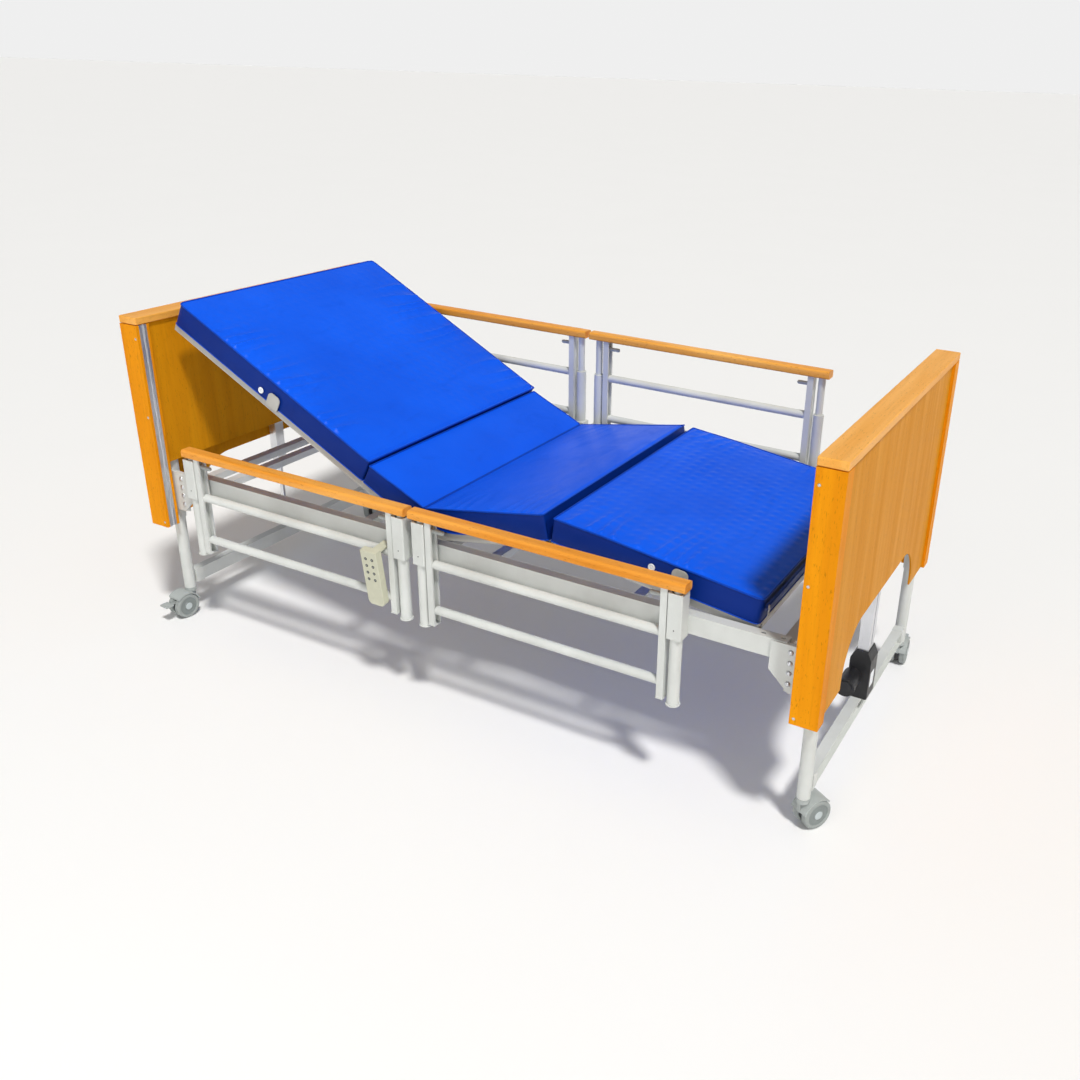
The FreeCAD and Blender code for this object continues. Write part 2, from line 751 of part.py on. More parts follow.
def back_section():
    parts = section_frame(-1, dim.back_length, (330, 660, dim.back_length - 20))
    parts += knuckles(-1, PIN_R + dim.running, 11, ((130, 170), (300, 370)))
    parts.append(arm(50, 32.5, 11, PIN_R + dim.running))
    parts.append(box((-18, -9), (38, 62), (-6, 6)))
    parts += retainers(-590, 54)
    seat = pad([(-dim.seat_length + 0.5, pad_low), (-bevel_low, pad_low), (-bevel_high, pad_high),
                (-dim.seat_length + 0.5, pad_high)])
    back = pad([(-dim.pad_length, pad_low), (-dim.seat_length - 0.5, pad_low),
                (-dim.seat_length - 0.5, pad_high), (-dim.pad_length, pad_high)])
    for label, pieces in (("back_deck", parts), ("mattress_seat", [seat]), ("mattress_back", [back])):
        place(node(label, *pieces), dim.hinge_x, 0, dim.hinge_z, "Y", dim.back_angle)


def thigh_section():
    end = dim.thigh_length - 14
    parts = section_frame(1, end, (200, end - 20))
    parts += knuckles(1, PIN_R + dim.running, 11, ((180, 290),))
    parts.append(arm(-50, -14, 11, PIN_R + dim.running))
    parts.append(box((9, 18), (-62, -38), (-6, 6)))
    for side in SIDES:
        for inner in (200, 340):
            across = spread(side, inner, inner + 10)
            lug = fuse(box((end - 4, dim.thigh_length), across, (-9, 9)),
                       rod("Y", 10, across, (dim.thigh_length, 0)))
            parts.append(lug)
    parts.append(rod("Y", KNEE_PIN_R, (-350, 350), (dim.thigh_length, 0)))
    top = pad([(bevel_low, pad_low), (dim.thigh_length - 0.5, pad_low),
               (dim.thigh_length - 0.5, pad_high), (bevel_high, pad_high)])
    for label, pieces in (("thigh_deck", parts), ("mattress_thigh", [top])):
        place(node(label, *pieces), dim.hinge_x, 0, dim.hinge_z, "Y", -dim.thigh_angle)


def calf_section():
    parts = section_frame(1, dim.calf_length, (285, dim.calf_length - 20))
    parts += knuckles(1, KNEE_PIN_R + dim.running, 10, ((215, 335),))
    parts += retainers(372, 80)
    top = pad([(0.5, pad_low), (dim.calf_length, pad_low), (dim.calf_length, pad_high), (0.5, pad_high)])
    knee_x = dim.hinge_x + dim.thigh_length * cosine(dim.thigh_angle)
    knee_z = dim.hinge_z + dim.thigh_length * sine(dim.thigh_angle)
    for label, pieces in (("calf_deck", parts), ("mattress_calf", [top])):
        place(node(label, *pieces), knee_x, 0, knee_z, "Y", dim.calf_angle)


def carriage():
    """Sliding beam with the lugs and the long pin that carry the back and the thigh."""
    beam_low = dim.frame_low - dim.hinge_z + 0.3
    reach = deck_in - 0.3
    parts = [box((45, 75), (-reach, reach), (beam_low, -14))]
    for side in SIDES:
        for inner in (110, 378):
            across = spread(side, inner, inner + 10)
            parts.append(box((-9, 46), across, (beam_low, -14)))
            parts.append(box((-9, 9), across, (-15, 0)))
            parts.append(rod("Y", 10, across, (0, 0)))
    parts.append(rod("Y", PIN_R, (-388, 388), (0, 0)))
    place(node("deck_carriage", fuse(*parts)), dim.hinge_x, 0, dim.hinge_z)


def drive():
    """Twin drive under the carriage, with one push fork for the back and one for the legs."""
    case = plate("XZ_Plane", [(80, -100), (330, -100), (330, -64), (310, -44), (100, -44), (80, -64)],
                 -85, 85)
    round_edges(case, 6, lambda edge: along(edge, "y"))
    hangers = [box((60, 84), spread(side, 70, 84), (-60, -39)) for side in SIDES]
    ways = [box((70, 230), (y - 30, y + 30), (-88, -53)) for y in (50, -50)]
    place(node("drive_housing", cut(fuse(case, *hangers), *ways)), dim.hinge_x, 0, dim.hinge_z)

    low, high = -86, -58
    for label, side, lean in (("back_push_fork", 1, 5), ("leg_push_fork", -1, 3.6)):
        centre_y = side * 50
        start = side * dim.arm_length * sine(as_size(lean))
        cheeks = []
        for offset in (-14, 6):
            across = (centre_y + offset, centre_y + offset + 8)
            cheek = box((start - 18, start + 70), across, (low, high))
            notch = box((start - 9.2, start + 9.2), (across[0] - 1, across[1] + 1), (-80, high + 1))
            cheeks.append(cut(cheek, notch))
        shaft = box((start + 40, start + 95), (centre_y - 14, centre_y + 14), (low + 2, high))
        place(node(label, fuse(*cheeks, shaft)), dim.hinge_x, 0, dim.hinge_z)


# ---- handset that hangs on the upper bar of the near head-end rail ----

def handset():
    half = dim.handset_wide / 2
    back = -30
    front = back - dim.handset_thick
    top = 19
    low = top - dim.handset_tall
    shell = plate("XZ_Plane", [(-half, low), (half, low), (half, top), (-half, top)], front, back)
    round_edges(shell, 14, lambda edge: along(edge, "y") and edge.Vertexes[0].Z < 0)
    round_edges(shell, 2, lambda edge: edge.Vertexes[0].Y < front.value + 1e-6)
    gap = 0.7
    bar_r = dim.bar_dia / 2
    over = box((0, half), (back - 1, bar_r + gap + 4), (bar_r + gap, top))
    lip = box((0, half), (bar_r + gap, bar_r + gap + 4), (-6, top))
    keys = []
    for row in range(4):
        for column in (-11, 11):
            keys.append(rod("Y", 4.5, (front - 0.6, front), (column, -6 - 22 * row)))
    for label, pieces in (("handset", [fuse(shell, over, lip)]), ("handset_keys", keys)):
        place(node(label, *pieces), dim.handset_x, -dim.rail_y, dim.rail_low - dim.bar_one,
              "X", dim.handset_tilt)


end_pieces()
trim_profiles()
corner_brackets()
fasteners()
deck_frame()
rail_housings()
side_rails()
casters()
back_section()
thigh_section()
calf_section()
carriage()
drive()
handset()
doc.recompute()

for item in doc.Objects:
    if "Invalid" in item.State or "Error" in item.State:
        raise RuntimeError(f"{item.Name} failed: {item.State}")
for item in nodes:
    if item.Shape.isNull() or not item.Shape.isValid():
        raise RuntimeError(f"{item.Label} has no valid shape")

os.makedirs("parts", exist_ok=True)
for item in nodes:
    item.Shape.exportStep(f"parts/{item.Label}.step")
    print(item.Label, len(item.Shape.Solids), round(item.Shape.Volume / 1000), "cm3")
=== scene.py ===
import json
import math

import bpy
import numpy as np
from mathutils import Matrix, Vector, noise
from mathutils.bvhtree import BVHTree


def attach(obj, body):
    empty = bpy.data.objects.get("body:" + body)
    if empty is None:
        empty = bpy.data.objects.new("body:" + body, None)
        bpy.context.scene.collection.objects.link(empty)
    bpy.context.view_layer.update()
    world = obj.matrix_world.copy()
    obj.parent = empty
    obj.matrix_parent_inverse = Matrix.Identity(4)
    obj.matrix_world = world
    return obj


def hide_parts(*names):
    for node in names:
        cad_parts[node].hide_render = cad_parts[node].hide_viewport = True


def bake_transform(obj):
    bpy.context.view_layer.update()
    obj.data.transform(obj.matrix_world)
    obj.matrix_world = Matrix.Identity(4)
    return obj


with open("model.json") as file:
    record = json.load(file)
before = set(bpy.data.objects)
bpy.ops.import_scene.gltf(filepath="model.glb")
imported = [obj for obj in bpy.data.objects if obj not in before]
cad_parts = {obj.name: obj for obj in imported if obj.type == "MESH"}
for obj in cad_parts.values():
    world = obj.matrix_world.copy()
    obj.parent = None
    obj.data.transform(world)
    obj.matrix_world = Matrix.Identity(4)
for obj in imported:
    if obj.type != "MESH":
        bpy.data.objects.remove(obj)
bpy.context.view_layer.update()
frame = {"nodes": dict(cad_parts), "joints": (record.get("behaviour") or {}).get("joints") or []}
NODES = frame["nodes"]
JOINTS = {j["name"]: j for j in frame["joints"]}
SCENE = bpy.context.scene


# ---- camera, floor and lights ----

CAMERA_PLACE = (1.64394, -2.52794, 1.76858)
CAMERA_TURN_DEG = (27.2409, 23.9594, 1.987)
CAMERA_LENS, CAMERA_SHIFT = 35.48, (-0.0867, -0.0205)

FLOOR_SIZE, FLOOR_DROP = 400, 0.0005
SKY_FALL = (0.12, 0.32)
SKY_HORIZON, SKY_OVERHEAD = 0.865, 0.30
KEY_FROM, KEY_POWER, KEY_SPREAD = (0.40, -0.30, 0.87), 2.55, 0.12
FRONT_PLACE, FRONT_AIM, FRONT_SIZE, FRONT_POWER = (0.6, -4.4, 1.9), (0.2, 0.0, 0.5), 2.5, 30


def add_camera():
    """The photo's camera, found from the bed's own edges: azimuth, elevation and roll turn it."""
    azimuth, elevation, roll = (math.radians(a) for a in CAMERA_TURN_DEG)
    back = Vector((math.sin(azimuth) * math.cos(elevation),
                   -math.cos(azimuth) * math.cos(elevation), math.sin(elevation)))
    right = Vector((math.cos(azimuth), math.sin(azimuth), 0))
    up = back.cross(right)
    right, up = (math.cos(roll) * right + math.sin(roll) * up,
                 math.cos(roll) * up - math.sin(roll) * right)
    data = bpy.data.cameras.new("camera")
    data.sensor_width = 36
    data.lens = CAMERA_LENS
    data.shift_x, data.shift_y = CAMERA_SHIFT
    data.clip_end = 60
    camera = bpy.data.objects.new("camera", data)
    SCENE.collection.objects.link(camera)
    turn = Matrix((right, up, back)).transposed().to_4x4()
    camera.matrix_world = Matrix.Translation(CAMERA_PLACE) @ turn
    SCENE.camera = camera


def add_area(name, place, target, size, power):
    """A round soft box at place that faces target."""
    data = bpy.data.lights.new(name, "AREA")
    data.shape = "DISK"
    data.size = size
    data.energy = power
    lamp = bpy.data.objects.new(name, data)
    SCENE.collection.objects.link(lamp)
    lamp.location = place
    aim = Vector(target) - Vector(place)
    lamp.rotation_euler = aim.to_track_quat("-Z", "Y").to_euler()


def add_sun(direction, power, spread):
    """A large, far studio lamp: its light comes from direction, with soft shadow edges."""
    data = bpy.data.lights.new("key", "SUN")
    data.energy = power
    data.angle = spread
    data.color = (1.0, 0.985, 0.96)
    lamp = bpy.data.objects.new("key", data)
    SCENE.collection.objects.link(lamp)
    lamp.rotation_euler = (-Vector(direction)).to_track_quat("-Z", "Y").to_euler()


def add_world():
    """Pale studio: bright round the horizon, so the floor runs into it, and softer overhead."""
    world = bpy.data.worlds.new("studio")
    world.use_nodes = True
    tree = world.node_tree
    place = tree.nodes.new("ShaderNodeTexCoord").outputs["Generated"]
    height = tree.nodes.new("ShaderNodeSeparateXYZ")
    tree.links.new(place, height.inputs[0])
    ramp = tree.nodes.new("ShaderNodeMapRange")
    tree.links.new(height.outputs["Z"], ramp.inputs["Value"])
    for socket, value in (("From Min", SKY_FALL[0]), ("From Max", SKY_FALL[1]),
                          ("To Min", SKY_HORIZON), ("To Max", SKY_OVERHEAD)):
        ramp.inputs[socket].default_value = value
    sky = tree.nodes["Background"]
    sky.inputs["Color"].default_value = (1, 1, 1, 1)
    tree.links.new(ramp.outputs["Result"], sky.inputs["Strength"])
    SCENE.world = world


def add_stage():
    """Floor, world and lamps. The floor goes with the legs, so the castors stand on it in any pose."""
    bpy.ops.mesh.primitive_plane_add(size=FLOOR_SIZE, location=(0, 0, -FLOOR_DROP))
    floor = bpy.context.object
    floor.name = "floor"
    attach(floor, "head_legs")
    floor.data.materials.append(floor_finish())
    add_world()
    SCENE.view_settings.view_transform = "Standard"
    add_sun(KEY_FROM, KEY_POWER, KEY_SPREAD)
    add_area("front", FRONT_PLACE, FRONT_AIM, FRONT_SIZE, FRONT_POWER)


# ---- shader building ----

class Finish:
    """A node material with one Principled shader."""

    def __init__(self, name, **sockets):
        self.material = bpy.data.materials.new(name)
        self.material.use_nodes = True
        self.tree = self.material.node_tree
        self.shader = self.tree.nodes["Principled BSDF"]
        self.place = self.add("ShaderNodeTexCoord").outputs["Object"]
        for socket, value in sockets.items():
            self.set(socket.replace("_", " "), value)

    def set(self, socket, value):
        """Gives a shader socket a link, a colour or a number."""
        target = self.shader.inputs[socket]
        if isinstance(value, bpy.types.NodeSocket):
            self.tree.links.new(value, target)
        elif isinstance(value, tuple):
            target.default_value = (*value, 1)
        else:
            target.default_value = value

    def add(self, kind, inputs=(), **props):
        """A new node with its settings, and its inputs linked or set."""
        item = self.tree.nodes.new(kind)
        for name, value in props.items():
            setattr(item, name, value)
        for name, value in dict(inputs).items():
            if isinstance(value, bpy.types.NodeSocket):
                self.tree.links.new(value, item.inputs[name])
            else:
                item.inputs[name].default_value = value
        return item

    def scaled(self, scale):
        return self.add("ShaderNodeMapping", {"Vector": self.place, "Scale": scale}).outputs["Vector"]

    def noise(self, scale, detail=3, vector=None, roughness=0.55, distortion=0.0):
        inputs = {"Vector": vector or self.place, "Scale": scale, "Detail": detail,
                  "Roughness": roughness, "Distortion": distortion}
        return self.add("ShaderNodeTexNoise", inputs).outputs["Fac"]

    def ramp(self, value, low, high, out=(0.0, 1.0)):
        inputs = {"Value": value, "From Min": low, "From Max": high, "To Min": out[0], "To Max": out[1]}
        return self.add("ShaderNodeMapRange", inputs).outputs["Result"]

    def mix(self, factor, first, second):
        """Blends two colours; 0, 6 and 7 are the mix node's factor and its two colour inputs."""
        item = self.add("ShaderNodeMix", data_type="RGBA")
        for index, value in ((0, factor), (6, first), (7, second)):
            if isinstance(value, bpy.types.NodeSocket):
                self.tree.links.new(value, item.inputs[index])
            elif isinstance(value, tuple):
                item.inputs[index].default_value = (*value, 1)
            else:
                item.inputs[index].default_value = value
        return item.outputs[2]

    def math(self, operation, first, second):
        return self.add("ShaderNodeMath", {0: first, 1: second}, operation=operation).outputs[0]

    def bump(self, height, distance, strength, rounded=0.0):
        """Ends the material: a bump, over edges softened by the radius rounded."""
        inputs = {"Height": height, "Distance": distance, "Strength": strength}
        if rounded:
            inputs["Normal"] = self.add("ShaderNodeBevel", {"Radius": rounded}, samples=4).outputs[0]
        self.set("Normal", self.add("ShaderNodeBump", inputs).outputs["Normal"])
        return self.material


def floor_finish():
    """Plain pale paper, slightly uneven."""
    f = Finish("floor_finish", Roughness=0.55)
    f.set("Base Color", f.mix(f.noise(1.2, 4), (0.90, 0.90, 0.895), (0.915, 0.915, 0.91)))
    return f.bump(f.noise(180), 0.0006, 0.3)


def paint_finish(name, colour, shade, rounded=0.0012):
    """Powder coat: orange-peel texture, faint cloudy grey and a little dust."""
    f = Finish(name, Roughness=0.4, Coat_Weight=0.12, Coat_Roughness=0.25)
    cloud = f.mix(f.ramp(f.noise(7, 4), 0.35, 0.7), colour, shade)
    rub = f.ramp(f.noise(160, 5, roughness=0.7), 0.66, 0.74)
    f.set("Base Color", f.mix(f.math("MULTIPLY", rub, 0.22), cloud, tuple(c * 0.55 for c in shade)))
    f.set("Roughness", f.ramp(f.noise(24, 4), 0.3, 0.7, (0.34, 0.5)))
    return f.bump(f.noise(1500, 2), 0.00012, 0.55, rounded)


def stretched(grain, share):
    """Scale that draws a texture out along the grain axis."""
    return tuple(share if axis == grain else 1.0 for axis in "XYZ")


def wood_finish(name, grain, light, dark, ior=1.12):
    """Lacquered beech: long soft figure, short dark flecks and pores along grain."""
    f = Finish(name, Roughness=0.42, IOR=ior)
    along = f.scaled(stretched(grain, 0.06))
    figure = f.ramp(f.noise(22, 4, along, distortion=0.6), 0.3, 0.72)
    streak = f.ramp(f.noise(130, 3, along), 0.54, 0.72)
    fleck = f.ramp(f.noise(420, 2, f.scaled(stretched(grain, 0.16))), 0.63, 0.7)
    base = f.mix(figure, light, dark)
    base = f.mix(f.math("MULTIPLY", streak, 0.2), base, tuple(c * 0.62 for c in dark))
    base = f.mix(f.math("MULTIPLY", fleck, 0.5), base, tuple(c * 0.42 for c in dark))
    f.set("Base Color", base)
    f.set("Roughness", f.ramp(figure, 0, 1, (0.36, 0.5)))
    return f.bump(f.math("ADD", f.math("MULTIPLY", fleck, -0.7), streak), 0.00018, 0.4, 0.0015)


def brushed_finish(name, colour, grain, roughness=0.32):
    """Drawn or plated metal with fine lines along grain."""
    f = Finish(name, Metallic=1.0, Roughness=roughness)
    line = f.noise(900, 3, f.scaled(stretched(grain, 0.02)))
    f.set("Base Color", f.mix(f.ramp(f.noise(9, 3), 0.3, 0.7), colour, tuple(c * 0.86 for c in colour)))
    f.set("Roughness", f.ramp(line, 0.3, 0.7, (roughness - 0.07, roughness + 0.12)))
    return f.bump(line, 0.00008, 0.5, 0.0006)


def plastic_finish(name, colour, roughness=0.48, grain=1400, depth=0.0001, rounded=0.001):
    """Moulded plastic with a fine spark texture and slight wear."""
    f = Finish(name, Roughness=roughness)
    worn = f.ramp(f.noise(38, 5), 0.52, 0.75)
    pale = tuple(min(1, c * 1.35 + 0.01) for c in colour)
    f.set("Base Color", f.mix(f.math("MULTIPLY", worn, 0.35), colour, pale))
    f.set("Roughness", f.ramp(f.noise(60, 3), 0.3, 0.7, (roughness - 0.06, roughness + 0.1)))
    return f.bump(f.noise(grain, 2), depth, 0.6, rounded)


def cover_finish(name, colour, deep, gloss=0.34):
    """Coated nylon cover: a fine woven ground under polyurethane, soft creases and sheen, with painted
    shade along the creases.
    """
    f = Finish(name, Roughness=gloss, IOR=1.22)
    threads = {"Vector": f.place, "Scale": 420}
    weave_x = f.add("ShaderNodeTexWave", threads, bands_direction="X").outputs["Fac"]
    weave_y = f.add("ShaderNodeTexWave", threads, bands_direction="Y").outputs["Fac"]
    crease = f.noise(18, 5, f.scaled((1.0, 0.45, 1.0)), 0.6, 0.8)
    cloud = f.ramp(f.noise(3.5, 3), 0.3, 0.7)
    base = f.mix(f.math("MULTIPLY", cloud, 0.5), colour, deep)
    # Painted shade: the colour darkens towards deep along the creases.
    f.set("Base Color", f.mix(f.math("MULTIPLY", f.ramp(crease, 0.56, 0.7), 0.25), base, deep))
    f.set("Roughness", f.ramp(crease, 0.3, 0.7, (gloss - 0.05, gloss + 0.1)))
    weave = f.math("MULTIPLY", f.math("ADD", weave_x, weave_y), 0.04)
    return f.bump(f.math("ADD", weave, crease), 0.0011, 0.55)


def chrome_finish():
    """Bright plated rod with a faint haze."""
    f = Finish("chrome_finish", Metallic=1.0, Roughness=0.12)
    f.set("Base Color", f.mix(f.noise(14, 3), (0.78, 0.79, 0.8), (0.62, 0.63, 0.65)))
    f.set("Roughness", f.ramp(f.noise(90, 4), 0.3, 0.75, (0.08, 0.22)))
    return f.bump(f.noise(700), 0.00004, 0.3)


WOOD_LIGHT, WOOD_DARK = (0.86, 0.330, 0.006), (0.70, 0.225, 0.003)
# The board panels get a darker copy of the posts' beech; the darker tone is painted shade.
SHADED_PANEL_LIGHT, SHADED_PANEL_DARK = (0.70, 0.290, 0.006), (0.60, 0.225, 0.003)
CAP_LIGHT, CAP_DARK = (0.92, 0.46, 0.10), (0.80, 0.34, 0.045)
BLUE, DEEP_BLUE = (0.003, 0.108, 0.84), (0.0015, 0.066, 0.60)

wood_up = wood_finish("beech_upright", "Z", WOOD_LIGHT, WOOD_DARK)
wood_panel_shaded = wood_finish("beech_panel_shaded", "Z", SHADED_PANEL_LIGHT, SHADED_PANEL_DARK)
wood_across = wood_finish("beech_across", "Y", CAP_LIGHT, CAP_DARK, 1.3)
wood_along = wood_finish("beech_along", "X", CAP_LIGHT, WOOD_DARK, 1.3)
paint = paint_finish("paint_light_grey", (0.66, 0.68, 0.655), (0.56, 0.575, 0.55))
# The deck parts get a darker, browner copy of the frame paint: painted shade under the mattress.
paint_deck_shaded = paint_finish("paint_deck_shaded", (0.50, 0.50, 0.47), (0.40, 0.395, 0.37))
alu_up = brushed_finish("aluminium_upright", (0.76, 0.77, 0.8), "Z")
zinc = brushed_finish("zinc_plate", (0.66, 0.67, 0.69), "Y", 0.28)
black = plastic_finish("plastic_black", (0.012, 0.012, 0.014), 0.42)
grey = plastic_finish("plastic_grey", (0.38, 0.41, 0.40))
tyre = plastic_finish("tyre_grey", (0.30, 0.325, 0.315), 0.6, 900, 0.0002)
hub = plastic_finish("hub_grey", (0.20, 0.225, 0.22), 0.4)
cap_grey = plastic_finish("axle_cap", (0.47, 0.52, 0.53), 0.32)
beige = plastic_finish("handset_shell", (0.56, 0.56, 0.43), 0.46)
key_grey = plastic_finish("handset_key", (0.06, 0.065, 0.06), 0.5)
white = plastic_finish("vent_white", (0.82, 0.85, 0.88), 0.35)
cover = cover_finish("cover_blue", BLUE, DEEP_BLUE)
seam = cover_finish("seam_blue", (0.002, 0.060, 0.50), (0.001, 0.025, 0.26), 0.42)
# The pad sides get a far darker blue than the top: painted shade on the cover's sides.
gusset_painted_shade = cover_finish("gusset_blue_painted_shade", (0.0008, 0.026, 0.235), (0.0004, 0.014, 0.15), 0.42)
# The knee web gets an almost black blue: painted shade in the fold between the pads.
fold_blue_shaded = cover_finish("fold_blue_shaded", (0.0007, 0.020, 0.20), (0.0004, 0.012, 0.13), 0.45)


def dress(finish, *names):
    """Gives whole CAD nodes one finish."""
    for name in names:
        data = NODES[name].data
        data.materials.clear()
        data.materials.append(finish)


def dress_cad():
    for end in ("foot", "head"):
        dress(wood_up, f"{end}_board_posts")
        # The panels' darker beech is painted shade.
        dress(wood_panel_shaded, f"{end}_board_panels")
        dress(wood_across, f"{end}_board_cap")
        dress(paint, f"{end}_end_frame", f"{end}_leg_frame")
        dress(black, f"{end}_lift_motor")
        dress(alu_up, f"{end}_lift_column")
        for side in ("near", "far"):
            dress(wood_along, f"rail_{side}_{end}_wood")
            dress(paint, f"rail_{side}_{end}_frame", f"rail_{side}_{end}_tubes")
            dress(grey, f"rail_{side}_{end}_levers")
    dress(paint, "corner_brackets", "deck_frame", "rail_housings")
    # The deck parts take the darker copy of the frame paint: painted shade.
    dress(paint_deck_shaded, "back_deck", "thigh_deck", "calf_deck", "deck_carriage")
    dress(alu_up, "board_trim_profiles")
    dress(zinc, "frame_fasteners")
    dress(chrome_finish(), "foot_lift_rod", "head_lift_rod")
    dress(black, "drive_housing", "back_push_fork", "leg_push_fork")
    dress(beige, "handset")
    dress(key_grey, "handset_keys")
    dress(grey, "caster_near_head_pedal", "caster_far_foot_pedal")


AXLE_CAP_RADIUS, HUB_RADIUS, GUARD_RADIUS = 0.0115, 0.0285, 0.0415


def dress_casters():
    """Tyre, hub and cap by distance from the axle; the fork is black inside its guard."""
    zones = (("wheels", (cap_grey, hub, tyre), (AXLE_CAP_RADIUS, HUB_RADIUS)),
             ("fork", (black, grey), (GUARD_RADIUS,)))
    for where in ("near_head", "near_foot", "far_head", "far_foot"):
        joint = JOINTS[f"wheels_{where}_roll"]
        axle, axis = Vector(joint["pos_m"]), Vector(joint["axis"]).normalized()
        for piece, finishes, limits in zones:
            data = NODES[f"caster_{where}_{piece}"].data
            data.materials.clear()
            for finish in finishes:
                data.materials.append(finish)
            for face in data.polygons:
                reach = (face.center - axle).cross(axis).length
                face.material_index = sum(reach > limit for limit in limits)


# ---- mesh helpers ----

SLANT = Vector((0.13, 0.09, 1))


def new_mesh(name, points, faces, finish, smooth=True):
    """A linked mesh object with one finish."""
    data = bpy.data.meshes.new(name)
    data.from_pydata([tuple(p) for p in points], [], faces)
    data.materials.append(finish)
    piece = bpy.data.objects.new(name, data)
    SCENE.collection.objects.link(piece)
    if smooth:
        data.shade_smooth()
    return piece


def sweep(name, path, radius, finish, sides=10):
    """A round tube along a closed path, none of which runs along SLANT."""
    count = len(path)
    rings, faces = [], []
    for i, point in enumerate(path):
        run = (path[(i + 1) % count] - path[i - 1]).normalized()
        across = run.cross(SLANT).normalized()
        upward = run.cross(across).normalized()
        for k in range(sides):
            turn = 2 * math.pi * k / sides
            rings.append(point + radius * (math.cos(turn) * across + math.sin(turn) * upward))
    for i in range(count):
        j = (i + 1) % count
        for k in range(sides):
            m = (k + 1) % sides
            faces.append((i * sides + k, i * sides + m, j * sides + m, j * sides + k))
    return new_mesh(name, rings, faces, finish)


def lathe(name, profile, place, axis, finish, steps=40):
    """A turned piece: profile is (height, radius) pairs along axis."""
    turn = Vector((0, 0, 1)).rotation_difference(Vector(axis)).to_matrix()
    points, faces = [], []
    for height, radius in profile:
        for k in range(steps):
            angle = 2 * math.pi * k / steps
            local = Vector((radius * math.cos(angle), radius * math.sin(angle), height))
            points.append(Vector(place) + turn @ local)
    for i in range(len(profile) - 1):
        for k in range(steps):
            m = (k + 1) % steps
            faces.append((i * steps + k, i * steps + m, (i + 1) * steps + m, (i + 1) * steps + k))
    faces.append(tuple(reversed(range(steps))))
    faces.append(tuple((len(profile) - 1) * steps + k for k in range(steps)))
    return new_mesh(name, points, faces, finish)


def smooth_step(value, low, high):
    """Rises from 0 at low to 1 at high."""
    t = np.clip((value - low) / (high - low), 0, 1)
    return t * t * (3 - 2 * t)


# ---- the mattress: four pads in one cover ----

HINGE = Vector(JOINTS["back_hinge"]["pos_m"])
KNEE = Vector(JOINTS["calf_hinge"]["pos_m"])


def rest_angle(joint):
    """A profiling joint lies flat at its lower limit, so the limit is the angle at rest."""
    return -math.radians(JOINTS[joint]["range_deg"][0])


BACK_TURN = rest_angle("back_hinge")
THIGH_TURN = rest_angle("thigh_hinge")
CALF_TURN = rest_angle("calf_hinge") - THIGH_TURN
BACK = Matrix.Translation(HINGE) @ Matrix.Rotation(BACK_TURN, 4, "Y")
THIGH = Matrix.Translation(HINGE) @ Matrix.Rotation(-THIGH_TURN, 4, "Y")
CALF = Matrix.Translation(KNEE) @ Matrix.Rotation(CALF_TURN, 4, "Y")
HALF_FOLD = (BACK_TURN + THIGH_TURN) / 2

CELL = 0.008
SEAM_LINES = np.array((0.0016, 0.0042, 0.009))
SEAM_INSET, END_INSET = 0.0045, 0.0018
TINY = 1e-9

SWELL, CLOTH_STEPS = 0.0055, 20

EGG_STEP, EGG_HEIGHT = 0.034, 0.0021
SAG_HEIGHT = 0.0018
CREASE_STEP, CREASE_HEIGHT = 0.044, 0.012
SIDE_WAVE = 0.0013

FOLD_GAP = 0.0004
BLEND_NEAR, BLEND_FAR = 0.032, 0.15
PIPING_TOP, PIPING_BOTTOM, PIPING_OUT = 0.0023, 0.0017, 0.003


def local_box(place, node):
    """Lowest and highest corner of a CAD pad in its section's own axes."""
    back = place.inverted()
    points = np.array([back @ v.co for v in NODES[node].data.vertices])
    return points.min(0), points.max(0)


def read(piece):
    flat = np.empty(len(piece.data.vertices) * 3)
    piece.data.vertices.foreach_get("co", flat)
    return flat.reshape(-1, 3)


def write(piece, points):
    piece.data.vertices.foreach_set("co", np.ascontiguousarray(points).ravel())
    piece.data.update()


def apply_all(piece):
    """Bakes the piece's modifiers into its mesh."""
    bpy.context.view_layer.update()
    baked = bpy.data.meshes.new_from_object(piece.evaluated_get(bpy.context.evaluated_depsgraph_get()))
    piece.modifiers.clear()
    old = piece.data
    piece.data = baked
    bpy.data.meshes.remove(old)


def grid_line(low, high):
    """Even cells, with closer lines at both ends so that a seam keeps its edge."""
    cell = CELL
    count = max(2, round((high - low - 2 * SEAM_LINES[-1]) / cell))
    middle = np.linspace(low + SEAM_LINES[-1], high - SEAM_LINES[-1], count + 1)
    return np.concatenate([[low], low + SEAM_LINES[:-1], middle, high - SEAM_LINES[:-1][::-1], [high]])


